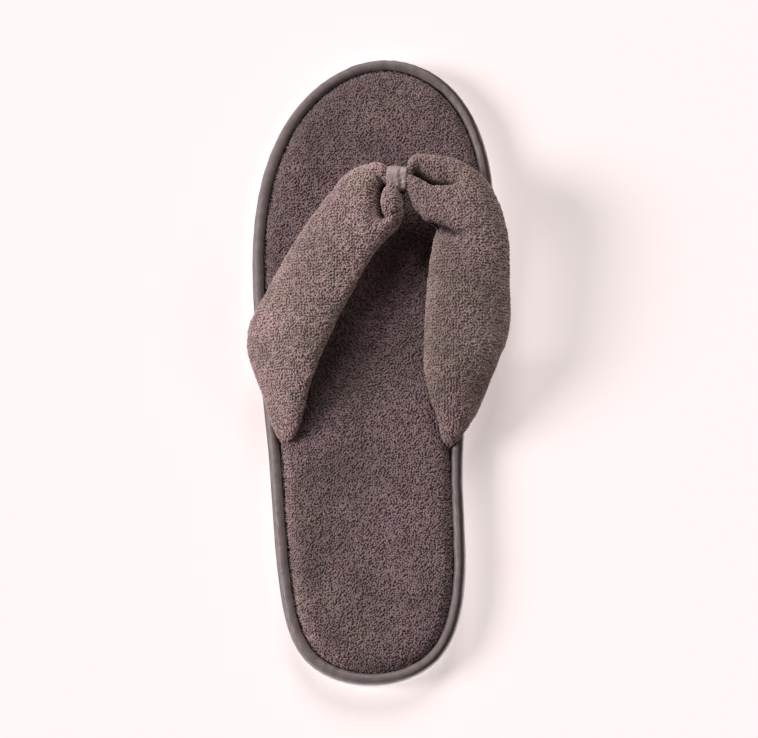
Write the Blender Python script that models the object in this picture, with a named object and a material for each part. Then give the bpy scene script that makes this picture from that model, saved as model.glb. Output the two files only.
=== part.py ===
"""House slipper for the left foot: flat foam sole, fleece footbed, satin piping,
padded fleece strap and the satin toe post that gathers it.

Metres, +Z up, +Y towards the toe, +X towards the big-toe side. The origin lies on
the underside of the sole, at the middle of its length and width.
"""

import math

import bmesh
import bpy
import numpy as np
from mathutils import Vector

# Driving sizes
SOLE_LENGTH = 0.280
SOLE_WIDTH = 0.1075
OUTSOLE_THICKNESS = 0.007
OUTSOLE_EDGE = 0.0006
PIPING_DIAMETER = 0.0046
PIPING_INSET = 0.0006
FOOTBED_THICKNESS = 0.0068
FOOTBED_RIM = 0.0045
STRAP_RISE = 0.018
STRAP_PADDING = 0.012
LOOP_WIDTH = 0.009
LOOP_WALL = 0.0012
NECK_DEPTH = 0.0078
NECK_HEIGHT = 0.0072
POST_DEPTH = 0.0045

# Pieces that touch stay this far apart
SEAT_GAP = 0.0003

# Outer edge of the piping, seen from above, toe tip first and then clockwise.
# Columns: place, across as a share of half the width, along as a share of half the length.
OUTLINE = (
    ("toe tip", 0.076, 1.000),
    ("toe medial", 0.569, 0.938),
    ("toe shoulder medial", 0.867, 0.783),
    ("ball medial", 1.000, 0.519),
    ("instep medial", 0.909, 0.187),
    ("waist medial", 0.732, -0.319),
    ("heel side medial", 0.740, -0.713),
    ("heel corner medial", 0.540, -0.919),
    ("heel back", 0.017, -1.000),
    ("heel corner lateral", -0.556, -0.919),
    ("heel side lateral", -0.755, -0.713),
    ("waist lateral", -0.860, -0.261),
    ("ball lateral", -1.000, 0.339),
    ("toe shoulder lateral", -0.777, 0.764),
    ("toe lateral", -0.432, 0.925),
)

# Where the toe post stands, as shares of half the sole's width and length: the strap
# hangs on it, so the strap's sections are measured from there
POST_ACROSS = 0.207
POST_ALONG = 0.583

# Sections of the strap, from each side seam up to the neck in the toe loop.
# Columns: place; out, ahead and height of the front edge; the same of the rear
# edge; padding; how far the middle bows out from the line between the edges; the
# crease across the top: where it lies from front (0) to rear (1), and how deep it is.
# Out runs from the toe post (0) to the widest place of the sole on that side (1),
# ahead is a share of half the sole's length from the post towards the toe, height runs
# from the seam (0) to the crest of the strap (1), and padding, bow and depth are
# shares of the strap's padding.
LATERAL_STRAP = (
    ("seam", 0.91, -0.530, 0.04, 0.80, -0.817, 0.04, 0.30, 0.05, 0.50, 0.00),
    ("roll", 0.98, -0.507, 0.16, 0.78, -0.814, 0.15, 0.62, 0.08, 0.50, 0.00),
    ("bulge", 1.01, -0.472, 0.32, 0.72, -0.792, 0.32, 0.86, 0.10, 0.50, 0.00),
    ("corner", 0.98, -0.422, 0.50, 0.64, -0.732, 0.52, 0.98, 0.12, 0.50, 0.00),
    ("rise", 0.92, -0.372, 0.64, 0.59, -0.657, 0.70, 1.00, 0.12, 0.50, 0.00),
    ("shoulder", 0.84, -0.312, 0.76, 0.53, -0.577, 0.83, 1.00, 0.12, 0.50, 0.00),
    ("middle", 0.73, -0.228, 0.86, 0.43, -0.479, 0.91, 1.00, 0.12, 0.50, 0.00),
    ("crest", 0.61, -0.137, 0.92, 0.31, -0.371, 0.96, 1.00, 0.12, 0.50, 0.00),
    ("fall", 0.47, -0.048, 0.95, 0.20, -0.275, 0.97, 1.00, 0.12, 0.50, 0.00),
    ("turn", 0.32, 0.023, 0.96, 0.07, -0.200, 0.95, 1.08, 0.12, 0.65, 0.05),
    ("lobe", 0.20, 0.046, 0.97, -0.03, -0.144, 0.94, 1.17, 0.10, 0.48, 0.26),
    ("gather", 0.12, 0.051, 1.00, -0.04, -0.084, 0.98, 1.02, 0.04, 0.38, 0.26),
)
MEDIAL_STRAP = (
    ("gather", 0.18, 0.073, 1.00, 0.13, -0.067, 0.98, 1.02, 0.04, 0.42, 0.26),
    ("lobe", 0.33, 0.079, 0.97, 0.18, -0.112, 0.94, 1.17, 0.10, 0.42, 0.26),
    ("turn", 0.55, 0.066, 0.96, 0.29, -0.158, 0.95, 1.12, 0.12, 0.36, 0.20),
    ("fall", 0.80, 0.030, 0.95, 0.36, -0.201, 0.96, 1.04, 0.12, 0.30, 0.06),
    ("crest", 0.99, -0.034, 0.91, 0.34, -0.247, 0.97, 1.00, 0.15, 0.50, 0.00),
    ("over", 1.10, -0.118, 0.84, 0.32, -0.311, 0.97, 1.00, 0.18, 0.50, 0.00),
    ("middle", 1.15, -0.221, 0.75, 0.29, -0.391, 0.95, 1.00, 0.22, 0.50, 0.00),
    ("shoulder", 1.16, -0.320, 0.65, 0.27, -0.485, 0.90, 1.00, 0.28, 0.50, 0.00),
    ("rise", 1.16, -0.402, 0.54, 0.27, -0.579, 0.82, 1.00, 0.36, 0.50, 0.00),
    ("corner", 1.14, -0.467, 0.42, 0.32, -0.671, 0.64, 0.98, 0.42, 0.50, 0.00),
    ("bulge", 1.04, -0.504, 0.28, 0.41, -0.757, 0.40, 0.86, 0.42, 0.50, 0.00),
    ("roll", 0.91, -0.527, 0.15, 0.50, -0.817, 0.16, 0.62, 0.32, 0.50, 0.00),
    ("seam", 0.75, -0.542, 0.04, 0.55, -0.824, 0.04, 0.30, 0.10, 0.50, 0.00),
)

# The strap's neck inside the toe loop. Columns: place; how far to the medial side of
# the loop's middle the front edge and the rear edge lie, as shares of the loop's width.
NECK = (
    ("lateral end", -0.40, 0.04),
    ("medial end", 0.36, 0.30),
)

# How finely curved forms are divided
OUTLINE_STEPS = 6
STRAP_STEPS = 2
STRAP_SIDES = 20
LOOP_STEPS = 28
PIPING_SIDES = 12
EDGE_SEGMENTS = 2
RIM_SEGMENTS = 5
CREASE_SPREAD = 0.16
NECK_CREASE = 0.4
UNDERSIDE_FLATNESS = 0.8
OVAL_FLATNESS = 2.4
PLACE_COLUMNS = 6
RIM_ANGLE = math.radians(60)
SHARP_ANGLE = math.radians(40)
WELD = 1e-6

# Heights and half sizes that follow from the driving sizes
HALF_WIDTH = SOLE_WIDTH / 2
HALF_LENGTH = SOLE_LENGTH / 2
PIPING_RADIUS = PIPING_DIAMETER / 2
SEAT_HEIGHT = OUTSOLE_THICKNESS + SEAT_GAP
SEAM_HEIGHT = SEAT_HEIGHT + PIPING_RADIUS
FOOTBED_TOP = SEAT_HEIGHT + FOOTBED_THICKNESS
CREST_HEIGHT = FOOTBED_TOP + STRAP_RISE
POST_X = POST_ACROSS * HALF_WIDTH
POST_Y = POST_ALONG * HALF_LENGTH


def smooth(points, steps, closed):
    """Points along the cubic spline through the given rows, with steps in each gap."""
    knots = np.array(points, dtype=float)
    if closed:
        knots = np.vstack([knots, knots[:1]])
    gaps = np.linalg.norm(np.diff(knots[:, :PLACE_COLUMNS], axis=0), axis=1)
    slopes = np.diff(knots, axis=0) / gaps[:, None]
    system = np.eye(len(knots))
    bend = np.zeros_like(knots)
    for i in range(1, len(gaps)):
        system[i, i - 1 : i + 2] = gaps[i - 1], 2 * (gaps[i - 1] + gaps[i]), gaps[i]
        bend[i] = 6 * (slopes[i] - slopes[i - 1])
    if closed:
        system[0, -1] = -1.0
        system[-1] = 0.0
        system[-1, :2] = 2 * gaps[0], gaps[0]
        system[-1, -2:] = gaps[-1], 2 * gaps[-1]
        bend[-1] = 6 * (slopes[0] - slopes[-1])
    curvature = np.linalg.solve(system, bend)
    read = []
    for i, gap in enumerate(gaps):
        for step in range(steps):
            far = step / steps
            near = 1.0 - far
            lift = (near**3 - near) * curvature[i] + (far**3 - far) * curvature[i + 1]
            read.append(near * knots[i] + far * knots[i + 1] + lift * gap * gap / 6)
    if not closed:
        read.append(knots[-1])
    return np.array(read)


def outline(inset):
    """The slipper's outline, moved in from the piping's outer edge by inset."""
    reach = (HALF_WIDTH - PIPING_INSET, HALF_LENGTH - PIPING_INSET)
    edge = smooth([(x * reach[0], y * reach[1]) for _, x, y in OUTLINE], OUTLINE_STEPS, True)
    run = np.roll(edge, -1, axis=0) - np.roll(edge, 1, axis=0)
    run /= np.linalg.norm(run, axis=1)[:, None]
    inward = np.column_stack([run[:, 1], -run[:, 0]])
    return edge + inward * inset


def collection(name):
    group = bpy.data.collections.new(name)
    bpy.context.scene.collection.children.link(group)
    return group


def material(name, colour, roughness, sheen=0.0):
    """A Principled material; colour is linear RGB."""
    made = bpy.data.materials.new(name)
    made.use_nodes = True
    shader = made.node_tree.nodes["Principled BSDF"]
    shader.inputs["Base Color"].default_value = (*colour, 1.0)
    shader.inputs["Roughness"].default_value = roughness
    shader.inputs["Metallic"].default_value = 0.0
    shader.inputs["Sheen Weight"].default_value = sheen
    return made


def add_object(name, data, group, finish=None):
    made = bpy.data.objects.new(name, data)
    group.objects.link(made)
    if finish:
        data.materials.append(finish)
    else:
        made.hide_render = True
        made.display_type = "WIRE"
    return made


def mesh_of(curve_object):
    """Turn a curve object into a closed mesh, with its caps welded on."""
    bpy.context.view_layer.update()
    evaluated = curve_object.evaluated_get(bpy.context.evaluated_depsgraph_get())
    mesh = bpy.data.meshes.new_from_object(evaluated)
    shell = bmesh.new()
    shell.from_mesh(mesh)
    bmesh.ops.remove_doubles(shell, verts=shell.verts, dist=WELD)
    bmesh.ops.transform(shell, matrix=curve_object.matrix_world, verts=shell.verts)
    bmesh.ops.recalc_face_normals(shell, faces=shell.faces)
    shell.to_mesh(mesh)
    shell.free()
    curve = curve_object.data
    bpy.data.objects.remove(curve_object)
    bpy.data.curves.remove(curve)
    return mesh


def flat_curve(name, loops, thickness):
    """A 2D curve with one spline for each loop, filled and thickened about its plane."""
    curve = bpy.data.curves.new(name, "CURVE")
    curve.dimensions = "2D"
    curve.fill_mode = "BOTH"
    curve.extrude = thickness / 2
    for loop in loops:
        spline = curve.splines.new("POLY")
        spline.points.add(len(loop) - 1)
        spline.use_cyclic_u = True
        for point, (x, y) in zip(spline.points, loop):
            point.co = (x, y, 0.0, 1.0)
    return curve


def slab(name, inset, low, high, group, finish=None):
    """A flat slab with the slipper's outline, from height low to height high."""
    drawn = add_object(name, flat_curve(name, [outline(inset)], high - low), group)
    drawn.location.z = (low + high) / 2
    return add_object(name, mesh_of(drawn), group, finish)


def round_rim(piece, heights, width, segments):
    """Round the outer edges of a slab that lie at the given heights."""
    shell = bmesh.new()
    shell.from_mesh(piece.data)
    rims = [
        edge
        for edge in shell.edges
        if len(edge.link_faces) == 2
        and edge.calc_face_angle() > RIM_ANGLE
        and any(abs(v.co.z - height) < WELD for height in heights for v in edge.verts)
        and abs(edge.verts[0].co.z - edge.verts[1].co.z) < WELD
    ]
    bmesh.ops.bevel(
        shell, geom=rims, offset=width, segments=segments, profile=0.5, affect="EDGES"
    )
    shell.to_mesh(piece.data)
    shell.free()
    return piece


def make_outsole(group, finish):
    sole = slab("outsole", -PIPING_INSET, 0.0, OUTSOLE_THICKNESS, group, finish)
    round_rim(sole, (0.0, OUTSOLE_THICKNESS), OUTSOLE_EDGE, EDGE_SEGMENTS)
    return sole


def make_footbed(group, finish, grow=0.0, name="footbed"):
    """The padded insole, or with grow and no finish the space that it needs."""
    inset = PIPING_DIAMETER + SEAT_GAP - grow
    top = FOOTBED_TOP + grow
    bed = slab(name, inset, SEAT_HEIGHT - grow, top, group, finish)
    return round_rim(bed, (top,), FOOTBED_RIM, RIM_SEGMENTS)


def make_piping(group, finish, grow=0.0, name="piping"):
    """The tube of binding round the slipper, or with grow the space that it needs."""
    path = outline(PIPING_RADIUS)
    curve = bpy.data.curves.new(name, "CURVE")
    curve.dimensions = "3D"
    curve.twist_mode = "Z_UP"
    curve.bevel_depth = PIPING_RADIUS + grow
    curve.bevel_resolution = PIPING_SIDES // 2 - 2
    spline = curve.splines.new("POLY")
    spline.points.add(len(path) - 1)
    spline.use_cyclic_u = True
    for point, (x, y) in zip(spline.points, path):
        point.co = (x, y, SEAM_HEIGHT, 1.0)
    return add_object(name, mesh_of(add_object(name, curve, group)), group, finish)


def bulge(value, flatness):
    """A sine or cosine pushed out, so that an ellipse becomes a squarer oval."""
    return math.copysign(abs(value) ** (2 / flatness), value)


def oval(depth, height):
    """A closed oval about the origin, from its lowest point round to the front."""
    turns = [math.tau * i / LOOP_STEPS for i in range(LOOP_STEPS)]
    return [
        (depth / 2 * bulge(math.sin(a), OVAL_FLATNESS), -height / 2 * bulge(math.cos(a), OVAL_FLATNESS))
        for a in turns
    ]


def make_toe_post(group, finish, grow=0.0, name="toe_post"):
    """The satin strip: a ring round the strap's neck, on two legs sewn together."""
    wall = 2 * (LOOP_WALL + grow)
    leg = POST_DEPTH / 2 + grow
    foot = SEAT_HEIGHT - grow - CREST_HEIGHT
    around = oval(NECK_DEPTH + wall, NECK_HEIGHT + wall)
    ring = [(y, z) for y, z in around if z > 0 or abs(y) > leg]
    outside = [(leg, foot), *ring, (-leg, foot)]
    hole = oval(NECK_DEPTH - 2 * grow, NECK_HEIGHT - 2 * grow)
    drawn = add_object(name, flat_curve(name, [outside, hole], LOOP_WIDTH + 2 * grow), group)
    drawn.rotation_euler = (math.pi / 2, 0.0, math.pi / 2)
    drawn.location = (POST_X, POST_Y, CREST_HEIGHT)
    return add_object(name, mesh_of(drawn), group, finish)


def strap_rows():
    """Every section of the strap in metres, with the neck in the loop between its halves."""

    def edge(side, out, ahead, height):
        x = POST_X + side * out * (HALF_WIDTH - side * POST_X)
        y = POST_Y + ahead * HALF_LENGTH
        return (x, y, SEAM_HEIGHT + height * (CREST_HEIGHT - SEAM_HEIGHT))

    def section(side, row):
        padding, bow, crease, depth = row[7:]
        size = (padding * STRAP_PADDING, bow * STRAP_PADDING)
        return (*edge(side, *row[1:4]), *edge(side, *row[4:7]), *size, crease, depth)

    def neck(front, rear):
        half = NECK_DEPTH / 2 - SEAT_GAP
        ahead = (POST_X + front * LOOP_WIDTH, POST_Y + half, CREST_HEIGHT)
        behind = (POST_X + rear * LOOP_WIDTH, POST_Y - half, CREST_HEIGHT)
        return (*ahead, *behind, NECK_HEIGHT - 2 * SEAT_GAP, 0.0, NECK_CREASE, 0.0)

    lateral = [section(-1, row) for row in LATERAL_STRAP]
    medial = [section(1, row) for row in MEDIAL_STRAP]
    return [*lateral, *(neck(front, rear) for _, front, rear in NECK), *medial]


def strap_ring(row, forward):
    """One closed section of the strap: an oval from its front edge to its rear edge."""
    front = Vector(row[0:3])
    rear = Vector(row[3:6])
    padding, bow, crease, depth = row[6:10]
    middle = (front + rear) / 2
    across = (front - rear) / 2
    up = Vector(forward).cross(across).normalized()
    ring = []
    for i in range(STRAP_SIDES):
        turn = math.tau * i / STRAP_SIDES
        wide = bulge(math.cos(turn), OVAL_FLATNESS)
        high = bulge(math.sin(turn), OVAL_FLATNESS)
        if high > 0:
            place = (1 - wide) / 2
            high -= 2 * depth * math.exp(-(((place - crease) / CREASE_SPREAD) ** 2))
        else:
            high *= UNDERSIDE_FLATNESS
        lift = high * padding / 2 + bow * (1 - wide * wide)
        ring.append(middle + across * wide + up * lift)
    return ring


def make_strap(group, finish):
    rows = smooth(strap_rows(), STRAP_STEPS, False)
    centres = (rows[:, 0:3] + rows[:, 3:6]) / 2
    forward = np.gradient(centres, axis=0)
    shell = bmesh.new()
    rings = [
        [shell.verts.new(point) for point in strap_ring(row, run)]
        for row, run in zip(rows, forward)
    ]
    for one, other in zip(rings, rings[1:]):
        for i in range(STRAP_SIDES):
            j = (i + 1) % STRAP_SIDES
            shell.faces.new((one[i], one[j], other[j], other[i]))
    shell.faces.new(rings[0])
    shell.faces.new(rings[-1])
    bmesh.ops.recalc_face_normals(shell, faces=shell.faces)
    mesh = bpy.data.meshes.new("strap")
    shell.to_mesh(mesh)
    shell.free()
    return add_object("strap", mesh, group, finish)


def cut(piece, cutter):
    """Take the cutter's space out of the piece."""
    step = piece.modifiers.new("clear of " + cutter.name, "BOOLEAN")
    step.operation = "DIFFERENCE"
    step.solver = "EXACT"
    step.object = cutter


def shade(piece):
    piece.data.shade_smooth()
    piece.data.set_sharp_from_angle(angle=SHARP_ANGLE)


def main():
    for old in list(bpy.data.objects):
        bpy.data.objects.remove(old)

    foam = material("white foam", (0.82, 0.81, 0.80), 0.6)
    fleece = material("taupe fleece", (0.16, 0.105, 0.10), 0.95, 0.4)
    satin = material("grey satin", (0.19, 0.165, 0.165), 0.45)

    parts = collection("house slipper")
    cutters = collection("cutters")

    make_outsole(parts, foam)
    footbed = make_footbed(parts, fleece)
    make_piping(parts, satin)
    strap = make_strap(parts, fleece)
    make_toe_post(parts, satin)

    footbed_space = make_footbed(cutters, None, SEAT_GAP, "footbed space")
    piping_space = make_piping(cutters, None, SEAT_GAP, "piping space")
    post_space = make_toe_post(cutters, None, SEAT_GAP, "toe post space")
    cut(footbed, post_space)
    cut(strap, footbed_space)
    cut(strap, piping_space)
    cut(strap, post_space)

    for piece in parts.objects:
        shade(piece)


main()
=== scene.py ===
import math

import bpy
import numpy as np
from bpy.props import FloatProperty, FloatVectorProperty, PointerProperty
from bpy.types import Operator, Panel, PropertyGroup
from mathutils import Matrix, Vector
from mathutils.kdtree import KDTree


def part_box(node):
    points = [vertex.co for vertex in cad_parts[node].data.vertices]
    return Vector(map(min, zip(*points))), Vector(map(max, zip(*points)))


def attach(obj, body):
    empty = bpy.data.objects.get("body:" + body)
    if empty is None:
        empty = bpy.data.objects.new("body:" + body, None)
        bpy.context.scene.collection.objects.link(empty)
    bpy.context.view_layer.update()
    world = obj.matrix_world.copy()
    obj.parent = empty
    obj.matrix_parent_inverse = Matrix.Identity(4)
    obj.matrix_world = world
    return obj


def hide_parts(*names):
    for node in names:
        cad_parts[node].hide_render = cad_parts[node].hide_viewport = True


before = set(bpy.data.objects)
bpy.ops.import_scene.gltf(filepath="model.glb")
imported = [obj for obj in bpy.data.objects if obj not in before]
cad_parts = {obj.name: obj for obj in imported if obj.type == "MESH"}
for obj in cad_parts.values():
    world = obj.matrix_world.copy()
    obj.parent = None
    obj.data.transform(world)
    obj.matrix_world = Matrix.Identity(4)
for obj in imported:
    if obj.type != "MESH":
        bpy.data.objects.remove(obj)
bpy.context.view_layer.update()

bl_info = {
    "name": "House Slipper",
    "version": (1, 0, 0),
    "blender": (4, 5, 0),
    "location": "3D View > Sidebar > Slipper",
    "description": "Fleece, satin and foam finish of a padded thong slipper, on a pale floor",
    "category": "Add Mesh",
}

# Where the slipper's own parts lie, read from the frame
SOLE_LOW, SOLE_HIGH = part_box("outsole")
PIPING_LOW, PIPING_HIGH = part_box("piping")
POST_LOW, POST_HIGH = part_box("toe_post")
HALF_WIDTH = (SOLE_HIGH.x - SOLE_LOW.x) / 2
HALF_LENGTH = (SOLE_HIGH.y - SOLE_LOW.y) / 2
POST_X = (POST_LOW.x + POST_HIGH.x) / 2
POST_Y = (POST_LOW.y + POST_HIGH.y) / 2
LOOP_WIDTH = POST_HIGH.x - POST_LOW.x
SEAM_HEIGHT = (PIPING_LOW.z + PIPING_HIGH.z) / 2
PIPING_RADIUS = (PIPING_HIGH.z - PIPING_LOW.z) / 2

# Where the two pieces of the footbed's pile meet
PILE_JOIN = POST_Y - 0.03
# Share of the pile's height by which the pads are drawn in, as room for the pile
SINK = 0.8
# Mesh size of the remeshed footbed and toe loop
BED_VOXEL = 0.002
LOOP_VOXEL = 0.0005
# The slope round the tread, and how far the tread lies inside the foam's underside
TREAD_SLOPE = 0.0005
TREAD_DEPTH = 0.0004
# Tint that leaves a colour as it is
PLAIN = (1.0, 1.0, 1.0)

# The fleece's colour: hue of its cool and warm areas, least and greatest shade of its dark and
# light patches, least and greatest shade of a single tuft, and shade of its backing's dark spots
COOL_HUE = (0.98, 1.012, 0.955)
WARM_HUE = (1.018, 0.986, 1.035)
PATCH_SHADES = (0.80, 1.17)
TUFT_SHADES = (0.86, 1.12)
BACKING_SHADE = 0.75

# The satin: shade of its worn spots, hue of the painted shade on the flank that lies away from
# the light, and share of the twill in its relief, next to the crumples
WORN_SHADE = 1.3
PAINTED_SHADE_HUE = (0.34, 0.22, 0.23)
TWILL_SHARE = 0.06

# The toe loop: share of its width that it loses towards the heel and down its legs, how far
# its narrow end lies off the post's middle and its heel side bulges out, its ridge's height
# and slant, and the height of the middle of the neck that it holds
LOOP_TAPER = 0.34
LOOP_PINCH = 0.22
LOOP_SHIFT = 0.0009
LOOP_BULGE = 0.0011
RIDGE_HEIGHT = 0.00035
RIDGE_SLANT = 0.12
NECK_HEIGHT = 0.032

# A fold: half the width over which its trough turns into its lip, the distance from its
# overhang at which its painted shade starts to fade, and the depth from which that shade is full
FOLD_EDGE = 0.0007
SHADE_START = 0.0003
FULL_SHADE_DEPTH = 0.005

# The floor's side, and how wide each light looks from the slipper
FLOOR_SIZE = 8.0
LIGHT_ANGLE = math.radians(24)

# The camera: the point that it looks at, how far it leans to the right, and its sensor's width
CAMERA_AIM = (0.0027, -0.0002, 0.011)
CAMERA_LEAN = 0.028
SENSOR_WIDTH = 36.0

# Folds where the strap is gathered into the toe loop. Each runs through the points given
# as shares of half the sole's width and length, and has a lip on its right-hand side that
# bulges over a trough on its left-hand side. Lengths in metres, fades as shares of the way.
# Columns: name; points; trough depth and width, lip height and width, overhang; fade in, out
FOLDS = (
    (
        "medial gather",
        ((0.300, 0.586), (0.330, 0.579), (0.384, 0.571), (0.436, 0.560), (0.481, 0.549),
         (0.533, 0.544), (0.593, 0.544), (0.651, 0.546), (0.702, 0.554), (0.762, 0.572)),
        (0.0074, 0.0056, 0.0010, 0.0045, 0.0010),
        (0.04, 0.26),
    ),
    (
        "lateral gather",
        ((0.156, 0.448), (0.132, 0.456), (0.106, 0.471), (0.096, 0.487), (0.093, 0.506),
         (0.099, 0.524), (0.113, 0.540), (0.130, 0.553), (0.150, 0.562)),
        (0.0088, 0.0044, 0.0008, 0.0038, 0.0008),
        (0.22, 0.10),
    ),
    (
        "medial overlap",
        ((0.809, 0.405), (0.759, 0.408), (0.709, 0.416), (0.662, 0.427), (0.610, 0.439),
         (0.564, 0.444), (0.512, 0.450), (0.440, 0.456), (0.405, 0.459)),
        (0.0056, 0.0044, 0.0012, 0.0050, 0.0016),
        (0.40, 0.01),
    ),
    (
        "lateral wrinkle",
        ((0.151, 0.457), (0.199, 0.461), (0.248, 0.468)),
        (0.0017, 0.0016, 0.0004, 0.0020, 0.0005),
        (0.3, 0.3),
    ),
    (
        "lateral lower wrinkle",
        ((0.094, 0.407), (0.175, 0.421), (0.247, 0.439)),
        (0.0015, 0.0022, 0.0003, 0.0022, 0.0002),
        (0.3, 0.3),
    ),
)

# Places where the strap is pushed in or pulled out, all through its height
# Columns: name; centre as shares of half the sole's width and length; reach across and along;
# shift in metres; fold whose lip side stays as it is
TUCKS = (
    (
        "overlap notch", (0.500, 0.430), (0.0080, 0.0041), (0.0044, -0.0002, -0.0006),
        "medial overlap",
    ),
    ("lobe end", (0.366, 0.452), (0.0034, 0.0034), (0.0016, 0.0016, 0.0), None),
    ("medial corner", (0.344, 0.629), (0.0028, 0.0028), (-0.0010, 0.0015, 0.0004), None),
    ("lateral corner", (0.120, 0.618), (0.0032, 0.0032), (0.0012, 0.0004, 0.0006), None),
    ("lateral flank", (-0.860, -0.086), (0.0120, 0.0145), (0.0021, 0.0, 0.0), None),
    ("lateral end", (-0.700, -0.205), (0.0070, 0.0060), (0.0013, -0.0020, -0.0002), None),
    ("medial end", (0.635, -0.215), (0.0070, 0.0060), (-0.0008, -0.0032, -0.0003), None),
)


class FleeceSettings(PropertyGroup):
    """Sizes and colours of the fleece"""

    pile_height: FloatProperty(
        name="Pile height", description="How far the pile stands off its backing",
        default=0.00065, min=0.0002, max=0.003, unit="LENGTH", precision=5,
    )
    pile_spacing: FloatProperty(
        name="Pile spacing", description="Least distance between two tufts of the pile",
        default=0.00081, min=0.0005, max=0.004, unit="LENGTH", precision=5,
    )
    crown: FloatProperty(
        name="Footbed crown", description="How far the footbed's rim lies below its middle",
        default=0.0017, min=0.0, max=0.004, unit="LENGTH", precision=5,
    )
    # Painted highlight: how much lighter the pile is made along the lateral rim, which faces the
    # key light
    rim_painted_highlight: FloatProperty(
        name="Brushed rim",
        description="How much lighter the pile is where it leans out over the lateral rim",
        default=0.6, min=0.0, max=1.0,
    )
    nap: FloatProperty(
        name="Nap turn", description="How far neighbouring tufts turn away from each other",
        default=1.1, min=0.0, max=3.1, subtype="ANGLE",
    )
    tip_colour: FloatVectorProperty(
        name="Tip colour", description="Colour of the tips of the pile",
        default=(0.280, 0.187, 0.190), min=0.0, max=1.0, subtype="COLOR",
    )
    # Painted shade: the pile's roots and the backing between the tufts are darker than the tips,
    # for the shade deep in the pile
    painted_root_shade_colour: FloatVectorProperty(
        name="Root colour", description="Colour between the tufts",
        default=(0.172, 0.112, 0.113), min=0.0, max=1.0, subtype="COLOR",
    )
    # Partly a lighter fabric than the footbed's, partly painted light where the strap faces the
    # light
    strap_tint_and_painted_light: FloatVectorProperty(
        name="Strap tint", description="How much lighter the strap's pile is than the footbed's",
        default=(1.80, 1.88, 1.76), min=0.5, max=3.0, subtype="COLOR",
    )
    # Painted shade: the medial half, where the nap lies away from the light, gets a darker copy of
    # the strap's fleece
    medial_tint_and_painted_shade: FloatVectorProperty(
        name="Medial strap tint",
        description="The same for the medial side, where the nap lies away from the light",
        default=(1.50, 1.56, 1.47), min=0.5, max=3.0, subtype="COLOR",
    )
    # Painted shade: the pile's colour is darkened at the bottom of each fold of the strap
    fold_shade: FloatProperty(
        name="Fold shade",
        description="Share of its light that the pile keeps at the bottom of a fold",
        default=0.13, min=0.0, max=1.0, subtype="FACTOR",
    )


class StrapSettings(PropertyGroup):
    """How the strap's padding is shaped"""

    voxel: FloatProperty(
        name="Mesh size", description="Distance between points of the strap's shell",
        default=0.0013, min=0.0008, max=0.004, unit="LENGTH", precision=5,
    )
    fold_depth: FloatProperty(
        name="Fold depth", description="Depth of the gathered folds as a share of the drawn one",
        default=1.0, min=0.0, max=2.0, subtype="FACTOR",
    )
    dents: FloatProperty(
        name="Dents", description="Depth of the soft unevenness of the padding",
        default=0.0006, min=0.0, max=0.003, unit="LENGTH", precision=5,
    )


class SatinSettings(PropertyGroup):
    """The satin of the piping and the toe loop"""

    colour: FloatVectorProperty(
        name="Piping colour", description="Colour of the satin of the piping",
        default=(0.212, 0.166, 0.164), min=0.0, max=1.0, subtype="COLOR",
    )
    loop_colour: FloatVectorProperty(
        name="Loop colour", description="Colour of the satin of the toe loop",
        default=(0.42, 0.315, 0.308), min=0.0, max=1.0, subtype="COLOR",
    )
    pucker: FloatProperty(
        name="Pucker", description="Depth of the puckers across the piping",
        default=0.00012, min=0.0, max=0.001, unit="LENGTH", precision=5,
    )


class FoamSettings(PropertyGroup):
    """The foam sole"""

    colour: FloatVectorProperty(
        name="Foam colour", description="Colour of the foam",
        default=(0.86, 0.84, 0.835), min=0.0, max=1.0, subtype="COLOR",
    )
    tread_margin: FloatProperty(
        name="Tread margin", description="Smooth border round the tread",
        default=0.005, min=0.001, max=0.02, unit="LENGTH",
    )
    tread_pitch: FloatProperty(
        name="Tread pitch", description="Distance between the dots of the tread",
        default=0.0026, min=0.001, max=0.01, unit="LENGTH", precision=4,
    )


class StageSettings(PropertyGroup):
    """Floor, light and camera"""

    floor_colour: FloatVectorProperty(
        name="Floor colour", description="Colour of the floor",
        default=(0.885, 0.785, 0.780), min=0.0, max=1.0, subtype="COLOR",
    )
    floor_glow: FloatProperty(
        name="Floor glow", description="Light that shines up through the translucent floor",
        default=0.48, min=0.0, max=2.0,
    )
    fill: FloatProperty(
        name="Fill light", description="Strength of the even light from all sides",
        default=0.045, min=0.0, max=10.0,
    )
    key: FloatProperty(
        name="Key light", description="Strength of the wide soft light from the left",
        default=2.35, min=0.0, max=20.0,
    )
    key_height: FloatProperty(
        name="Key height", description="Angle of the key light above the floor",
        default=math.radians(30), min=0.1, max=1.57, subtype="ANGLE",
    )
    toe_light: FloatProperty(
        name="Toe light", description="Strength of the soft light from beyond the toes",
        default=1.35, min=0.0, max=20.0,
    )
    right_light: FloatProperty(
        name="Right light", description="Strength of the weak light from the right",
        default=0.25, min=0.0, max=20.0,
    )
    rim_light: FloatProperty(
        name="Rim light", description="Strength of the low light on the foam at the heel",
        default=1.8, min=0.0, max=20.0,
    )
    side_light: FloatProperty(
        name="Side light", description="Strength of the low light on the foam at the lateral side",
        default=0.5, min=0.0, max=20.0,
    )
    distance: FloatProperty(
        name="Camera distance", description="From the camera to the slipper",
        default=2.0, min=0.3, max=10.0, unit="LENGTH",
    )
    elevation: FloatProperty(
        name="Camera elevation", description="Angle of the camera above the floor",
        default=math.radians(81.5), min=0.0, max=1.57, subtype="ANGLE",
    )
    view_width: FloatProperty(
        name="View width", description="Width of the picture at the slipper",
        default=0.33466, min=0.05, max=3.0, unit="LENGTH", precision=4,
    )


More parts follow.
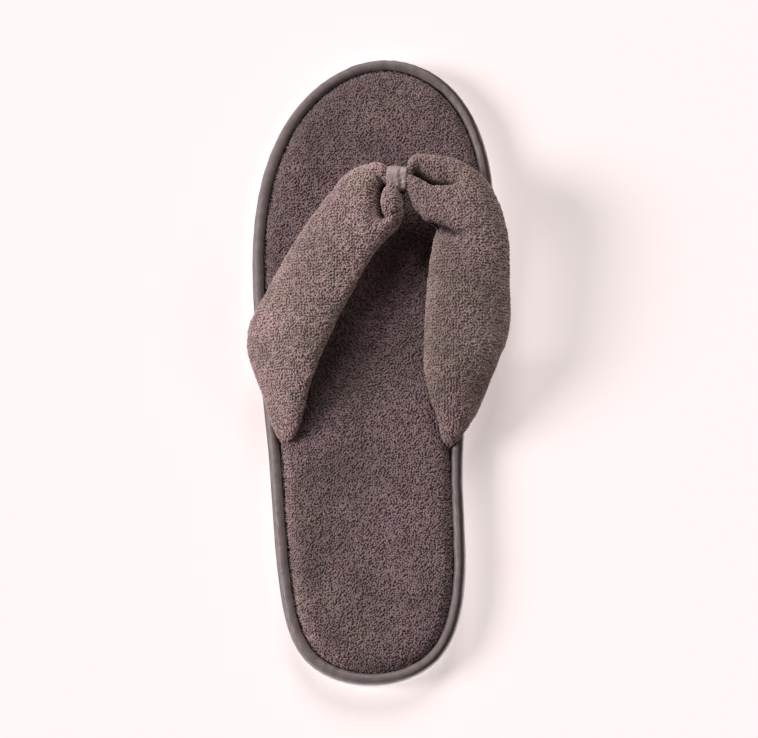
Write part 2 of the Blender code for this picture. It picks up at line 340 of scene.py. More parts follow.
class SlipperSettings(PropertyGroup):
    """All the slipper's settings"""

    fleece: PointerProperty(type=FleeceSettings)
    strap: PointerProperty(type=StrapSettings)
    satin: PointerProperty(type=SatinSettings)
    foam: PointerProperty(type=FoamSettings)
    stage: PointerProperty(type=StageSettings)


# Handling pieces


def pick(piece):
    """Make the piece the only selected object, and the active one."""
    bpy.ops.object.select_all(action="DESELECT")
    piece.select_set(True)
    bpy.context.view_layer.objects.active = piece


def copy_node(node, name):
    """A copy of a frame node's mesh as a new piece, with its loose triangles merged."""
    piece = bpy.data.objects.new(name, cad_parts[node].data.copy())
    piece.data.name = name
    piece.data.materials.clear()
    bpy.context.scene.collection.objects.link(piece)
    pick(piece)
    bpy.ops.object.mode_set(mode="EDIT")
    bpy.ops.mesh.select_all(action="SELECT")
    bpy.ops.mesh.remove_doubles(threshold=1e-6)
    bpy.ops.mesh.normals_make_consistent(inside=False)
    bpy.ops.mesh.customdata_custom_splitnormals_clear()
    bpy.ops.object.mode_set(mode="OBJECT")
    return piece


def apply_modifier(piece, kind, **settings):
    """Add a modifier with the given settings and apply it."""
    pick(piece)
    step = piece.modifiers.new(kind.title(), kind)
    for key, value in settings.items():
        setattr(step, key, value)
    bpy.ops.object.modifier_apply(modifier=step.name)


def read_points(piece):
    """The places and normals of the piece's points."""
    count = len(piece.data.vertices)
    places = np.empty(count * 3)
    normals = np.empty(count * 3)
    piece.data.vertices.foreach_get("co", places)
    piece.data.vertices.foreach_get("normal", normals)
    return places.reshape(-1, 3), normals.reshape(-1, 3)


def move_points(piece, places):
    """Put the piece's points at the given places."""
    piece.data.vertices.foreach_set("co", places.ravel())
    piece.data.update()


def store(piece, name, values):
    """Keep one number for each point of the piece under the given name."""
    attributes = piece.data.attributes
    layer = attributes.get(name) or attributes.new(name, "FLOAT", "POINT")
    layer.data.foreach_set("value", values.astype(np.float32))


def store_run(piece, flat):
    """Store the UV map of the satin: where each point of the piece lies on the flat strip."""
    corners = np.empty(len(piece.data.loops), int)
    piece.data.loops.foreach_get("vertex_index", corners)
    layer = piece.data.uv_layers.new(name="run")
    layer.data.foreach_set("uv", flat[corners].ravel())


def ramp(values, low, high):
    """A smooth step from 0 at low to 1 at high."""
    share = np.clip((values - low) / (high - low), 0.0, 1.0)
    return share * share * (3.0 - 2.0 * share)


def ripples(places, length, seed):
    """A soft unevenness between about -1 and 1, with waves of about the given length."""
    spread = np.random.default_rng(seed)
    total = np.zeros(len(places))
    for _ in range(9):
        way = spread.normal(size=3)
        way *= math.tau / (length * np.linalg.norm(way) * spread.uniform(0.7, 1.5))
        total += np.sin(places @ way + spread.uniform(0, math.tau))
    return total / 4.5


# Nodes


def new_node(tree, kind, inputs=None, **settings):
    """A node with its settings, and with its inputs filled in or linked."""
    made = tree.nodes.new(kind)
    for key, value in settings.items():
        setattr(made, key, value)
    for key, value in (inputs or {}).items():
        if isinstance(value, bpy.types.NodeSocket):
            tree.links.new(value, made.inputs[key])
        else:
            made.inputs[key].default_value = value
    return made


def compute(tree, operation, *values, **settings):
    """The result of a Math node on the given values."""
    inputs = dict(enumerate(values))
    made = new_node(tree, "ShaderNodeMath", inputs, operation=operation, **settings)
    return made.outputs["Value"]


def noise(tree, places, scale, detail=2.0, roughness=0.5):
    """Noise around a half, over the given places."""
    inputs = {"Vector": places, "Scale": scale, "Detail": detail, "Roughness": roughness}
    return new_node(tree, "ShaderNodeTexNoise", inputs).outputs["Fac"]


def spread_range(tree, value, low=0.0, high=1.0, to_low=0.0, to_high=1.0):
    """The value, with the way from low to high spread over the way from to_low to to_high."""
    inputs = {
        "Value": value, "From Min": low, "From Max": high, "To Min": to_low, "To Max": to_high,
    }
    return new_node(tree, "ShaderNodeMapRange", inputs).outputs["Result"]


def blend_colour(tree, share, one, other, mode="MIX"):
    """The first colour with the given share of the second."""
    made = new_node(tree, "ShaderNodeMix", data_type="RGBA", blend_type=mode, clamp_factor=True)
    sockets = {"Factor_Float": share, "A_Color": one, "B_Color": other}
    for key, value in sockets.items():
        socket = next(s for s in made.inputs if s.identifier == key)
        if isinstance(value, bpy.types.NodeSocket):
            tree.links.new(value, socket)
        elif key == "Factor_Float":
            socket.default_value = value
        else:
            socket.default_value = (*value, 1.0)
    return next(s for s in made.outputs if s.identifier == "Result_Color")


def shade_colour(tree, colour, shade):
    """The colour times the shade."""
    return blend_colour(tree, 1.0, colour, shade, "MULTIPLY")


def object_places(tree):
    """Places in the piece's own coordinates."""
    return new_node(tree, "ShaderNodeTexCoord").outputs["Object"]


def stored(tree, name):
    """The number that the piece's points keep under the given name."""
    return new_node(tree, "ShaderNodeAttribute", attribute_name=name).outputs["Fac"]


def random_value(tree, low, high, seed):
    """A number of its own for each tuft."""
    inputs = {2: low, 3: high, "Seed": seed}
    return new_node(tree, "FunctionNodeRandomValue", inputs, data_type="FLOAT").outputs[1]


def raise_bump(tree, shader, height, distance, strength):
    """Let the shader show the height as a relief."""
    inputs = {"Height": height, "Distance": distance, "Strength": strength}
    bump = new_node(tree, "ShaderNodeBump", inputs)
    tree.links.new(bump.outputs["Normal"], shader.inputs["Normal"])


# Materials


def new_material(name, roughness, sheen=0.0, sheen_roughness=0.5, specular=0.5):
    """A Principled material, its tree and its shader."""
    made = bpy.data.materials.new(name)
    made.use_nodes = True
    shader = made.node_tree.nodes["Principled BSDF"]
    shader.inputs["Roughness"].default_value = roughness
    shader.inputs["Specular IOR Level"].default_value = specular
    shader.inputs["Sheen Weight"].default_value = sheen
    shader.inputs["Sheen Roughness"].default_value = sheen_roughness
    return made, made.node_tree, shader


def tinted(colour, tint):
    return tuple(part * factor for part, factor in zip(colour, tint))


def shaded(colour, shade):
    return tuple(part * shade for part in colour)


def fleece_material(fleece, name, tint):
    """Pile of the fleece: painted shade at the root, mottled and lighter at the tips."""
    made, tree, shader = new_material(name, 0.92, sheen=0.25, sheen_roughness=0.45, specular=0.15)
    places = object_places(tree)
    tip = tinted(fleece.tip_colour, tint)
    root = tinted(fleece.painted_root_shade_colour, tint)
    mottle = spread_range(tree, noise(tree, places, scale=48.0, detail=1.0), 0.36, 0.64)
    colour = blend_colour(tree, mottle, tinted(tip, COOL_HUE), tinted(tip, WARM_HUE))
    patch = noise(tree, places, scale=42.0, detail=3.0)
    colour = shade_colour(tree, colour, spread_range(tree, patch, 0.34, 0.66, *PATCH_SHADES))
    tuft = spread_range(tree, stored(tree, "tone"), 0.0, 1.0, *TUFT_SHADES)
    colour = shade_colour(tree, colour, tuft)
    # Painted shade towards each tuft's root
    height = spread_range(tree, stored(tree, "lift"), 0.05, 0.6)
    colour = blend_colour(tree, height, root, colour)
    # Painted highlight along the lateral rim, and painted shade at the bottom of the strap's folds
    for mark, shade in (("rim", 1.0 + fleece.rim_painted_highlight), ("painted_fold_shade_mask", fleece.fold_shade)):
        share = spread_range(tree, stored(tree, mark), to_low=1.0, to_high=shade)
        colour = shade_colour(tree, colour, share)
    tree.links.new(colour, shader.inputs["Base Color"])
    fluff = noise(tree, places, scale=4200.0, detail=2.0, roughness=0.6)
    raise_bump(tree, shader, fluff, distance=0.00012, strength=0.6)
    return made


def backing_material(fleece, name, tint):
    """Backing cloth of the fleece, seen in the gaps of its pile, in the roots' painted shade."""
    made, tree, shader = new_material(name, 0.95, specular=0.1)
    places = object_places(tree)
    root = tinted(fleece.painted_root_shade_colour, tint)
    spots = noise(tree, places, scale=900.0)
    colour = blend_colour(tree, spots, shaded(root, BACKING_SHADE), root)
    tree.links.new(colour, shader.inputs["Base Color"])
    knit = noise(tree, places, scale=1100.0, detail=3.0)
    raise_bump(tree, shader, knit, distance=0.0003, strength=0.7)
    return made


def satin_material(name, colour, specular):
    """Satin with a fine twill, soft puckers, a broad highlight and painted flank shade."""
    made, tree, shader = new_material(name, 0.38, specular=specular)
    places = object_places(tree)
    run = new_node(tree, "ShaderNodeUVMap", uv_map="run").outputs["UV"]
    wear = spread_range(tree, noise(tree, places, scale=260.0, detail=3.0), 0.35, 0.7)
    mixed = blend_colour(tree, wear, tuple(colour), shaded(colour, WORN_SHADE))
    # Painted shade on the flank that lies away from the key light
    mixed = blend_colour(tree, stored(tree, "away"), mixed, tinted(colour, PAINTED_SHADE_HUE))
    tree.links.new(mixed, shader.inputs["Base Color"])
    twill = new_node(
        tree, "ShaderNodeTexWave",
        {"Vector": run, "Scale": 420.0, "Distortion": 1.5, "Detail": 1.0},
        wave_type="BANDS", bands_direction="DIAGONAL",
    ).outputs["Fac"]
    crumple = noise(tree, places, scale=430.0, detail=4.0, roughness=0.62)
    height = compute(tree, "MULTIPLY_ADD", twill, TWILL_SHARE, crumple)
    raise_bump(tree, shader, height, distance=0.00034, strength=0.9)
    return made


def foam_material(foam):
    """Closed-cell foam: off-white with a fine grain."""
    made, tree, shader = new_material("white foam", 0.62, specular=0.35)
    places = object_places(tree)
    base = tuple(foam.colour)
    cloud = noise(tree, places, scale=90.0, detail=4.0)
    colour = blend_colour(tree, cloud, shaded(base, 0.93), base)
    tree.links.new(colour, shader.inputs["Base Color"])
    cells = new_node(tree, "ShaderNodeTexVoronoi", {"Vector": places, "Scale": 1500.0})
    raise_bump(tree, shader, cells.outputs["Distance"], distance=0.00008, strength=0.5)
    return made


def tread_material(foam):
    """Underside of the foam, moulded with staggered round dots."""
    made, tree, shader = new_material("foam tread", 0.6, specular=0.35)
    places = object_places(tree)
    base = tuple(foam.colour)
    split = new_node(tree, "ShaderNodeSeparateXYZ", {"Vector": places})
    turns = [
        compute(tree, "MULTIPLY", split.outputs[axis], math.tau / foam.tread_pitch) for axis in "XY"
    ]
    dots = compute(tree, "MULTIPLY", *[compute(tree, "SINE", turn) for turn in turns])
    cloud = noise(tree, places, scale=60.0, detail=4.0)
    colour = blend_colour(tree, cloud, shaded(base, 0.9), base)
    tree.links.new(colour, shader.inputs["Base Color"])
    raise_bump(tree, shader, spread_range(tree, dots, 0.25, 0.6), distance=0.0003, strength=0.8)
    return made


def shared_material(name, make, *settings):
    """The material of that name, made at its first use."""
    return bpy.data.materials.get(name) or make(*settings)


# Fleece pile


def model_tuft(fleece):
    """One tuft of the pile: a short plump lock, standing at the origin and leaning along +X."""
    bpy.ops.object.select_all(action="DESELECT")
    height = fleece.pile_height
    bpy.ops.mesh.primitive_cylinder_add(
        vertices=4, radius=height * 0.85, depth=height * 0.95,
        location=(0.0, 0.0, height * 0.15), end_fill_type="NGON",
    )
    tuft = bpy.context.object
    tuft.name = "tuft"
    bpy.ops.object.transform_apply(location=True, rotation=True, scale=True)
    top = max(tuft.data.polygons, key=lambda face: face.center.z).index
    bpy.ops.object.mode_set(mode="EDIT")
    bpy.ops.mesh.select_mode(type="FACE")
    bpy.ops.mesh.select_all(action="DESELECT")
    bpy.ops.object.mode_set(mode="OBJECT")
    tuft.data.polygons[top].select = True
    bpy.ops.object.mode_set(mode="EDIT")
    bpy.ops.transform.translate(value=(height * 0.35, 0.0, 0.0))
    bpy.ops.transform.resize(value=(1.6, 0.8, 1.0))
    bpy.ops.mesh.poke(offset=height * 0.36)
    bpy.ops.object.mode_set(mode="OBJECT")
    bpy.ops.object.shade_smooth()
    places, _ = read_points(tuft)
    store(tuft, "lift", ramp(places[:, 2], -0.2 * height, 0.9 * height))
    return tuft


def pile_tree(tuft, fleece, seed):
    """Geometry nodes that plant the tuft over a surface, by its stored cover."""
    tree = bpy.data.node_groups.new("plant pile", "GeometryNodeTree")
    for way in ("INPUT", "OUTPUT"):
        tree.interface.new_socket("Geometry", in_out=way, socket_type="NodeSocketGeometry")
    ground = tree.nodes.new("NodeGroupInput").outputs["Geometry"]
    cover = new_node(
        tree, "GeometryNodeInputNamedAttribute", {"Name": "cover"}, data_type="FLOAT"
    ).outputs["Attribute"]
    planted = new_node(
        tree, "GeometryNodeDistributePointsOnFaces",
        {
            "Mesh": ground, "Distance Min": fleece.pile_spacing,
            "Density Max": 6.0 / fleece.pile_spacing ** 2, "Density Factor": cover, "Seed": seed,
        },
        distribute_method="POISSON",
    )
    place = new_node(tree, "GeometryNodeInputPosition").outputs["Position"]

    # Neighbours lean about the same way, each with a turn of its own
    flow = spread_range(tree, noise(tree, place, scale=150.0, detail=1.0), 0.25, 0.75, -4.0, 4.0)
    heading = compute(tree, "ADD", flow, random_value(tree, -fleece.nap, fleece.nap, seed + 1))
    upright = new_node(
        tree, "FunctionNodeAxisAngleToRotation", {"Axis": (0.0, 0.0, 1.0), "Angle": heading}
    ).outputs["Rotation"]
    facing = new_node(
        tree, "FunctionNodeRotateRotation",
        {"Rotation": planted.outputs["Rotation"], "Rotate By": upright}, rotation_space="LOCAL",
    ).outputs["Rotation"]

    # Full patches have larger and lighter tufts
    patch = noise(tree, place, scale=330.0, detail=1.0)
    fullness = spread_range(tree, patch, 0.3, 0.7, to_low=-0.16, to_high=0.16)
    size = compute(tree, "ADD", random_value(tree, 0.82, 1.26, seed + 2), fullness)
    source = new_node(tree, "GeometryNodeObjectInfo", {"Object": tuft}).outputs["Geometry"]
    placed = new_node(
        tree, "GeometryNodeInstanceOnPoints",
        {
            "Points": planted.outputs["Points"], "Instance": source, "Rotation": facing,
            "Scale": size,
        },
    ).outputs["Instances"]
    own_tone = random_value(tree, 0.2, 0.8, seed + 3)
    tone = compute(tree, "ADD", own_tone, fullness, use_clamp=True)
    toned = new_node(
        tree, "GeometryNodeStoreNamedAttribute",
        {"Geometry": placed, "Name": "tone", "Value": tone},
        data_type="FLOAT", domain="INSTANCE",
    ).outputs["Geometry"]
    real = new_node(tree, "GeometryNodeRealizeInstances", {"Geometry": toned}).outputs["Geometry"]
    tree.links.new(real, tree.nodes.new("NodeGroupOutput").inputs["Geometry"])
    return tree


def grow_pile(name, ground, cover, fleece, seed, finish="footbed fleece", tint=PLAIN):
    """A new piece with the pile of the ground piece, which is as dense as the cover says."""
    store(ground, "cover", cover)
    tuft = bpy.data.objects.get("tuft") or model_tuft(fleece)
    pile = bpy.data.objects.new(name, ground.data.copy())
    pile.data.name = name
    pile.data.materials.clear()
    bpy.context.scene.collection.objects.link(pile)
    pick(pile)
    step = pile.modifiers.new("Pile", "NODES")
    step.node_group = pile_tree(tuft, fleece, seed)
    bpy.ops.object.modifier_apply(modifier=step.name)
    pile.data.materials.clear()
    pile.data.materials.append(shared_material(finish, fleece_material, fleece, finish, tint))
    pile.data.shade_smooth()
    return pile


# Folds


def follow(points, steps=8):
    """A smooth line through the given points, evenly divided."""
    knots = np.array(points, float)
    ends = np.vstack([2 * knots[0] - knots[1], knots, 2 * knots[-1] - knots[-2]])
    line = []
    for before, start, stop, after in zip(ends, ends[1:], ends[2:], ends[3:]):
        for i in range(steps):
            t = i / steps
            line.append(
                0.5
                * (
                    2 * start
                    + (stop - before) * t
                    + (2 * before - 5 * start + 4 * stop - after) * t**2
                    + (3 * start - before - 3 * stop + after) * t**3
                )
            )
    return np.vstack([line, knots[-1:]])


def beside(places, line):
    """For each place the distance left (+) or right (-) of the line, the share of the way
    along it, and the direction to its left."""
    starts, stops = line[:-1], line[1:]
    runs = stops - starts
    lengths = np.linalg.norm(runs, axis=1)
    reached = np.concatenate([[0.0], np.cumsum(lengths)])
    offset = places[:, None, :2] - starts[None]
    share = np.clip((offset * runs).sum(2) / lengths**2, 0.0, 1.0)
    gap = offset - share[..., None] * runs
    distance = np.linalg.norm(gap, axis=2)
    nearest = distance.argmin(1)
    row = np.arange(len(places))
    run = runs[nearest] / lengths[nearest, None]
    left = np.column_stack([-run[:, 1], run[:, 0]])
    side = (gap[row, nearest] * left).sum(1)
    signed = np.where(side < 0, -1.0, 1.0) * distance[row, nearest]
    along = (reached[nearest] + share[row, nearest] * lengths[nearest]) / reached[-1]
    return signed, along, left


def fold_line(row):
    """The line of a fold, in metres."""
    return follow([(x * HALF_WIDTH, y * HALF_LENGTH) for x, y in row[1]])


def press_fold(places, normals, row, depth_share):
    """Press one fold into the strap's upper side, and give each place its painted fold shade."""
    _, _, (depth, width, lip, lip_width, overhang), (fade_in, fade_out) = row
    side, along, left = beside(places, fold_line(row))
    side = -side
    ends = ramp(along, 0.0, fade_in) * (1.0 - ramp(along, 1.0 - fade_out, 1.0))
    upper = ramp(normals[:, 2], -0.1, 0.35) * ends * depth_share
    over = ramp(side, -FOLD_EDGE, FOLD_EDGE)
    trough = -depth * np.exp(-((side / width) ** 2))
    crest = lip * np.exp(-((side / lip_width) ** 2))
    places[:, 2] += upper * ((1.0 - over) * trough + over * crest)
    push = upper * over * overhang * np.exp(-((side / (lip_width * 0.8)) ** 2))
    places[:, :2] += left * push[:, None]
    # Painted shade: full in the trough and under the lip, fading out past the overhang, weaker in
    # shallow folds
    fade = overhang + SHADE_START
    dark = 1.0 - ramp(-side, fade, fade + 0.75 * width)
    return (1.0 - over) * ends * min(depth / FULL_SHADE_DEPTH, 1.0) * dark


def loop_reach(y):
    """Half the toe loop's width, and how far its middle lies off the post's, at the given y."""
    taper = ramp(POST_Y - y, -0.0015, 0.0062)
    return (LOOP_WIDTH / 2) * (1.0 - LOOP_TAPER * taper), LOOP_SHIFT * taper


def near_post(places, across, along, offset=0.0):
    """Which places lie within the given reach of the post, seen from above."""
    beside_post = np.abs(places[:, 0] - POST_X - offset) < across
    return beside_post & (np.abs(places[:, 1] - POST_Y) < along)


def tuck(places, row):
    """Push the strap in or pull it out round one place, clear of the toe loop, and say how
    much of the push each place takes."""
    _, (x, y), (across, along), shift, still_side = row
    off_x = (places[:, 0] - x * HALF_WIDTH) / across
    off_y = (places[:, 1] - y * HALF_LENGTH) / along
    off_loop = np.abs(places[:, 0] - POST_X) - LOOP_WIDTH / 2
    weight = np.exp(-(off_x**2 + off_y**2)) * ramp(off_loop, -0.0002, 0.0014)
    if still_side:
        line = fold_line(next(fold for fold in FOLDS if fold[0] == still_side))
        weight *= ramp(beside(places, line)[0], -0.0006, 0.0006)
    places += weight[:, None] * np.array(shift)
    return weight


# Pieces


def finish_piece(piece, node=None):
    """Let the piece ride on the slipper and the node that it stands for."""
    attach(piece, "root")
    if node:
        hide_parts(node)


class SLIPPER_OT_outsole(Operator):
    """Foam sole with a soft edge and a dotted tread underneath"""

    bl_idname = "slipper.outsole"
    bl_label = "Foam Sole"

    def execute(self, context):
        foam = context.scene.slipper.foam
        sole = copy_node("outsole", "foam_sole")
        bpy.ops.object.mode_set(mode="EDIT")
        bpy.ops.mesh.select_all(action="SELECT")
        bpy.ops.mesh.dissolve_limited(angle_limit=math.radians(1))
        bpy.ops.mesh.select_mode(type="FACE")
        bpy.ops.mesh.select_all(action="DESELECT")
        bpy.ops.object.mode_set(mode="OBJECT")
        downward = [face for face in sole.data.polygons if face.normal.z < -0.9]
        under = max(downward, key=lambda face: face.area)
        under.select = True
        sole.data.materials.append(foam_material(foam))
        sole.data.materials.append(tread_material(foam))
        bpy.ops.object.mode_set(mode="EDIT")
        bpy.ops.mesh.inset(thickness=foam.tread_margin, depth=0.0)
        bpy.ops.mesh.inset(thickness=TREAD_SLOPE, depth=-TREAD_DEPTH)
        bpy.ops.object.mode_set(mode="OBJECT")
        inner = next(face for face in sole.data.polygons if face.select)
        inner.material_index = 1
        sole.data.shade_smooth()
        sole.data.set_sharp_from_angle(angle=math.radians(50))
        finish_piece(sole, "outsole")
        return {"FINISHED"}


def distance_from_rim(places, normals):
    """How far each place lies from the piece's upright sides, seen from above."""
    rim = KDTree(len(places))
    for i in np.flatnonzero(np.abs(normals[:, 2]) < 0.4):
        rim.insert((places[i, 0], places[i, 1], 0.0), int(i))
    rim.balance()
    return np.array([rim.find((x, y, 0.0))[2] for x, y in places[:, :2]])


class SLIPPER_OT_footbed(Operator):
    """Padded footbed with its fleece pile"""

    bl_idname = "slipper.footbed"
    bl_label = "Fleece Footbed"

    def execute(self, context):
        fleece = context.scene.slipper.fleece
        bed = copy_node("footbed", "footbed_pad")
        apply_modifier(bed, "REMESH", mode="VOXEL", voxel_size=BED_VOXEL)
        places, normals = read_points(bed)
        top = ramp(normals[:, 2], -0.2, 0.5)
        places -= normals * (fleece.pile_height * SINK * top)[:, None]
        inward = distance_from_rim(places, normals)
        # The top falls from 10 mm inside the rim to the full crown at the rim
        places[:, 2] -= fleece.crown * top * (1.0 - ramp(inward, -0.010, 0.010)) * 2.0
        rise = 0.0003 * ripples(places, length=0.045, seed=3)
        rise += 0.0002 * ripples(places, length=0.018, seed=4)
        places[:, 2] += rise * top
        # Painted highlight: the pile is made lighter along the lateral rim, from behind the toes to
        # the heel, on the side that faces the key light
        lateral = ramp(-places[:, 0], 0.0, 0.03) * ramp(PILE_JOIN - places[:, 1], 0.0, 0.06)
        store(bed, "rim", (1.0 - ramp(inward, 0.001, 0.008)) * lateral)
        move_points(bed, places)
        apply_modifier(bed, "SMOOTH", factor=0.5, iterations=3)
        bed.data.shade_smooth()
        bed.data.materials.append(backing_material(fleece, "footbed backing", PLAIN))
        places, normals = read_points(bed)
        bare = near_post(places, LOOP_WIDTH * 0.6, 0.0036)
        cover = ramp(normals[:, 2], -0.1, 0.15) * ~bare
        for name, side, seed in (("footbed_pile_heel", -1, 11), ("footbed_pile_toe", 1, 12)):
            mine = side * (places[:, 1] - PILE_JOIN) > 0
            finish_piece(grow_pile(name, bed, cover * mine, fleece, seed))
        finish_piece(bed, "footbed")
        return {"FINISHED"}


class SLIPPER_OT_strap(Operator):
    """Padded strap, folded where the toe loop gathers it, with its fleece pile"""

    bl_idname = "slipper.strap"
    bl_label = "Fleece Strap"

    def execute(self, context):
        settings = context.scene.slipper
        fleece, shape = settings.fleece, settings.strap
        strap = copy_node("strap", "strap_pad")
        apply_modifier(strap, "REMESH", mode="VOXEL", voxel_size=shape.voxel)
        apply_modifier(strap, "SMOOTH", factor=0.5, iterations=2)
        apply_modifier(strap, "SUBSURF", levels=1, render_levels=1)
        places, normals = read_points(strap)
        free = 1.0 - near_post(places, LOOP_WIDTH / 2 - 0.0004, 0.006)
        height = ramp(places[:, 2], SEAM_HEIGHT + 0.001, SEAM_HEIGHT + 0.006)
        dents = shape.dents * ripples(places, length=0.03, seed=7)
        dents += 0.4 * shape.dents * ripples(places, length=0.011, seed=8)
        sink = fleece.pile_height * SINK * (0.35 + 0.65 * height)
        places += normals * ((dents * height - sink) * free)[:, None]
        tucked = np.zeros(len(places))
        for row in TUCKS:
            tucked = np.maximum(tucked, tuck(places, row))
        # Painted shade in the folds, kept on the strap for the pile's colour
        painted_fold_shade_mask = np.zeros(len(places))
        for row in FOLDS:
            pressed = press_fold(places, normals * free[:, None], row, shape.fold_depth)
            painted_fold_shade_mask = np.maximum(painted_fold_shade_mask, pressed)
        store(strap, "painted_fold_shade_mask", painted_fold_shade_mask)
        move_points(strap, places)
        apply_modifier(strap, "SMOOTH", factor=0.5, iterations=4)
        # Where it was tucked, the shell is evened out once more
        even = strap.vertex_groups.new(name="tucked")
        for i in np.flatnonzero(tucked > 0.02):
            even.add([int(i)], min(2.0 * float(tucked[i]), 1.0), "REPLACE")
        apply_modifier(strap, "SMOOTH", factor=0.5, iterations=8, vertex_group=even.name)
        strap.data.shade_smooth()
        strap.data.materials.append(backing_material(fleece, "strap backing", fleece.strap_tint_and_painted_light))
        places, normals = read_points(strap)
        reach, offset = loop_reach(places[:, 1])
        seam = ramp(places[:, 2], SEAM_HEIGHT - 0.001, SEAM_HEIGHT + 0.001)
        cover = seam * ~near_post(places, reach - 0.0004, 0.0042, offset)
        # The lateral half gets a lighter copy of the fleece than the medial half: painted light and
        # painted shade
        halves = (("lateral", -1, 21, fleece.strap_tint_and_painted_light), ("medial", 1, 31, fleece.medial_tint_and_painted_shade))
        for half, side, seed, tint in halves:
            mine = side * (places[:, 0] - POST_X) > 0
            name, finish = f"strap_pile_{half}", f"{half} strap fleece"
            finish_piece(grow_pile(name, strap, cover * mine, fleece, seed, finish, tint))
        finish_piece(strap, "strap")
        return {"FINISHED"}


def lay_run(places, normals, radius):
    """The way along the outline and the way round the tube of that radius, both in metres."""
    turn = np.arctan2(places[:, 0], places[:, 1])
    order = np.argsort(turn)
    distance = np.linalg.norm(places[order, :2], axis=1)
    steps = np.abs(np.diff(turn[order])) * (distance[1:] + distance[:-1]) / 2
    reached = np.empty(len(places))
    reached[order] = np.concatenate([[0.0], np.cumsum(steps)])
    level = np.hypot(normals[:, 0], normals[:, 1])
    outward = np.sign((places[:, :2] * normals[:, :2]).sum(1))
    return reached, np.arctan2(normals[:, 2], level * outward) * radius


class SLIPPER_OT_piping(Operator):
    """Satin piping round the footbed"""

    bl_idname = "slipper.piping"
    bl_label = "Satin Piping"

    def execute(self, context):
        satin = context.scene.slipper.satin
        piping = copy_node("piping", "satin_piping")
        apply_modifier(piping, "SUBSURF", levels=2, render_levels=2)
        places, normals = read_points(piping)
        reached, round_way = lay_run(places, normals, PIPING_RADIUS)
        store_run(piping, np.column_stack([reached, round_way]))
        drawn = np.column_stack([reached, round_way * 0.25, np.zeros(len(reached))])
        pucker = ripples(drawn, length=0.0035, seed=41)
        pucker += 0.8 * ripples(drawn, length=0.011, seed=42)
        places += normals * (satin.pucker * pucker + 0.00006)[:, None]
        move_points(piping, places)
        # Painted shade: the outer flank of the medial piping, which faces away from the key light
        store(piping, "away", ramp(normals[:, 0], 0.08, 0.50) * ramp(places[:, 0], 0.0, 0.02))
        piping.data.shade_smooth()
        piping.data.materials.append(satin_material("grey satin", satin.colour, 0.3))
        finish_piece(piping, "piping")
        return {"FINISHED"}


class SLIPPER_OT_loop(Operator):
    """Satin toe loop, gathered where it turns down to the footbed"""

    bl_idname = "slipper.loop"
    bl_label = "Satin Toe Loop"

    def execute(self, context):
        satin = context.scene.slipper.satin
        loop = copy_node("toe_post", "toe_loop")
        apply_modifier(loop, "REMESH", mode="VOXEL", voxel_size=LOOP_VOXEL)
        apply_modifier(loop, "SMOOTH", factor=0.5, iterations=4)
        apply_modifier(loop, "SUBSURF", levels=1, render_levels=1)
        places, normals = read_points(loop)
        across = places[:, 0] - POST_X
        leg = 1.0 - ramp(places[:, 2], POST_HIGH.z - 0.011, POST_HIGH.z - 0.003)
        pinch = 1.0 - LOOP_PINCH * leg
        reach, offset = loop_reach(places[:, 1])
        places[:, 0] = POST_X + offset + across * pinch * reach / (LOOP_WIDTH / 2)
        places[:, 1] -= LOOP_BULGE * ramp(POST_Y - places[:, 1], 0.0015, 0.0055)

        # A slanting ridge runs over the outside of the loop
        slant = across - RIDGE_SLANT * (places[:, 1] - POST_Y)
        ridge = 0.5 - ramp(slant, 0.0003, 0.0013)
        off_neck = (places[:, 1] - POST_Y) * normals[:, 1]
        off_neck += (places[:, 2] - NECK_HEIGHT) * normals[:, 2]
        places += normals * (RIDGE_HEIGHT * ridge * ramp(off_neck, 0.0, 0.002))[:, None]
        lengthwise = np.column_stack([across, places[:, 1] * 0.3, places[:, 2] * 0.3])
        creases = 0.00020 * ripples(lengthwise, length=0.0028, seed=51)
        creases += 0.00015 * ripples(places, length=0.0024, seed=52)
        places += normals * creases[:, None]
        move_points(loop, places)
        loop.data.shade_smooth()
        store_run(loop, np.column_stack([across, places[:, 1] + places[:, 2]]))
        loop.data.materials.append(satin_material("taupe satin", satin.loop_colour, 0.5))
        finish_piece(loop, "toe_post")
        return {"FINISHED"}


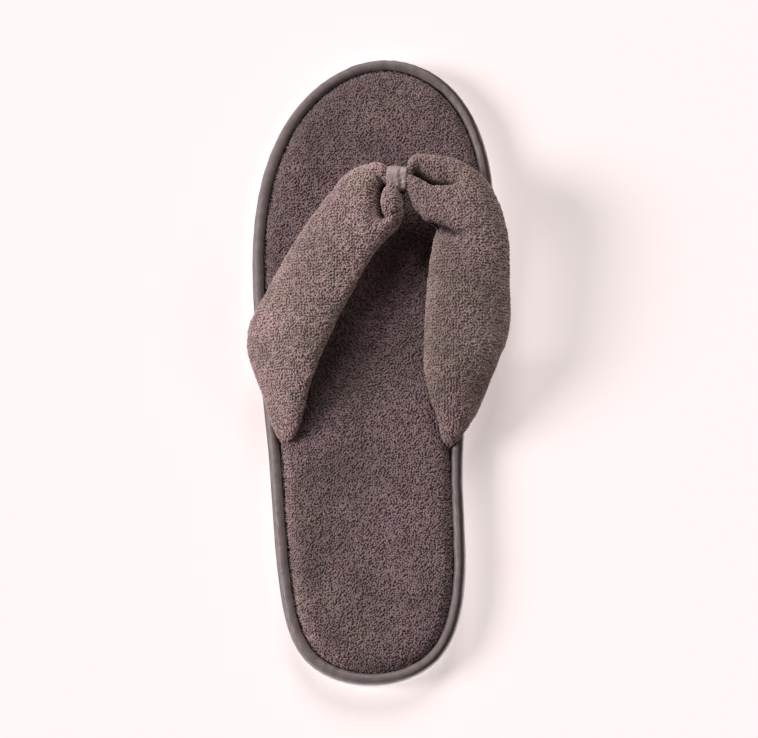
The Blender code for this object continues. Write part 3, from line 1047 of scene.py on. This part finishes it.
class SLIPPER_OT_stage(Operator):
    """Pale floor, soft light from the left and the camera above the heel"""

    bl_idname = "slipper.stage"
    bl_label = "Stage"

    def execute(self, context):
        stage = context.scene.slipper.stage
        bpy.ops.object.select_all(action="DESELECT")
        bpy.ops.mesh.primitive_plane_add(size=FLOOR_SIZE, location=(0.0, 0.0, 0.0))
        floor = context.object
        floor.name = "floor"
        made, tree, shader = new_material("pale floor", 0.9, specular=0.1)
        pale = tuple(stage.floor_colour)
        cloud = noise(tree, object_places(tree), scale=3.0)
        colour = blend_colour(tree, cloud, shaded(pale, 0.99), pale)
        tree.links.new(colour, shader.inputs["Base Color"])
        shader.inputs["Emission Color"].default_value = (*pale, 1.0)
        shader.inputs["Emission Strength"].default_value = stage.floor_glow
        floor.data.materials.append(made)

        world = context.scene.world or bpy.data.worlds.new("soft light")
        context.scene.world = world
        world.use_nodes = True
        sky = world.node_tree.nodes["Background"]
        sky.inputs["Color"].default_value = (1.0, 0.985, 0.98, 1.0)
        sky.inputs["Strength"].default_value = stage.fill

        # Columns: name, strength, bearing and height in degrees, how it treats the foam
        lights = (
            ("key_light", stage.key, 180.0, math.degrees(stage.key_height), "EXCLUDE"),
            ("toe_light", stage.toe_light, 90.0, 35.0, "EXCLUDE"),
            ("right_light", stage.right_light, 0.0, 40.0, None),
            ("rim_light", stage.rim_light, 290.0, 12.0, "INCLUDE"),
            ("side_light", stage.side_light, 150.0, 12.0, "INCLUDE"),
        )
        for name, strength, bearing, height, foam_link in lights:
            turn, rise = math.radians(bearing), math.radians(height)
            flat = math.cos(rise)
            towards = Vector((flat * math.cos(turn), flat * math.sin(turn), math.sin(rise)))
            turned = towards.to_track_quat("Z", "Y").to_euler()
            bpy.ops.object.light_add(type="SUN", rotation=turned)
            light = context.object
            light.name = name
            light.data.energy = strength
            light.data.angle = LIGHT_ANGLE
            if foam_link:
                receivers = bpy.data.collections.new(f"{name} receivers")
                receivers.objects.link(bpy.data.objects["foam_sole"])
                receivers.collection_objects[0].light_linking.link_state = foam_link
                light.light_linking.receiver_collection = receivers

        bpy.ops.object.camera_add()
        camera = context.object
        camera.name = "camera"
        camera.data.sensor_width = SENSOR_WIDTH
        camera.data.lens = SENSOR_WIDTH * stage.distance / stage.view_width
        camera.data.clip_end = 20.0
        away = (CAMERA_LEAN, -math.cos(stage.elevation), math.sin(stage.elevation))
        towards = Vector(away).normalized()
        right = Vector((0.0, 1.0, 0.0)).cross(towards).normalized()
        camera.location = Vector(CAMERA_AIM) + towards * stage.distance
        axes = Matrix((right, towards.cross(right), towards)).transposed()
        camera.rotation_euler = axes.to_euler()
        context.scene.camera = camera
        context.scene.view_settings.view_transform = "Standard"
        return {"FINISHED"}


class SLIPPER_PT_panel(Panel):
    """Slipper pieces and their settings"""

    bl_idname = "SLIPPER_PT_panel"
    bl_label = "House Slipper"
    bl_space_type = "VIEW_3D"
    bl_region_type = "UI"
    bl_category = "Slipper"

    def draw(self, context):
        settings = context.scene.slipper
        for group, pieces in PANEL_ROWS:
            box = self.layout.box()
            chosen = getattr(settings, group)
            for name in chosen.bl_rna.properties.keys():
                if name not in ("name", "rna_type"):
                    box.prop(chosen, name)
            for piece in pieces:
                box.operator(piece.bl_idname)


# In the order in which they are made: the stage's lights single out the foam sole
PIECES = (
    SLIPPER_OT_outsole, SLIPPER_OT_stage, SLIPPER_OT_footbed,
    SLIPPER_OT_piping, SLIPPER_OT_strap, SLIPPER_OT_loop,
)
PANEL_ROWS = (
    ("foam", (SLIPPER_OT_outsole,)),
    ("fleece", (SLIPPER_OT_footbed,)),
    ("strap", (SLIPPER_OT_strap,)),
    ("satin", (SLIPPER_OT_piping, SLIPPER_OT_loop)),
    ("stage", (SLIPPER_OT_stage,)),
)
CLASSES = (
    FleeceSettings, StrapSettings, SatinSettings, FoamSettings, StageSettings, SlipperSettings,
    *PIECES, SLIPPER_PT_panel,
)


def register():
    for one in CLASSES:
        bpy.utils.register_class(one)
    bpy.types.Scene.slipper = PointerProperty(type=SlipperSettings)


def unregister():
    del bpy.types.Scene.slipper
    for one in reversed(CLASSES):
        bpy.utils.unregister_class(one)


def main():
    register()
    for piece in PIECES:
        group, name = piece.bl_idname.split(".")
        getattr(getattr(bpy.ops, group), name)()
    tuft = bpy.data.objects.get("tuft")
    if tuft:
        bpy.data.objects.remove(tuft)


if __name__ == "__main__":
    main()
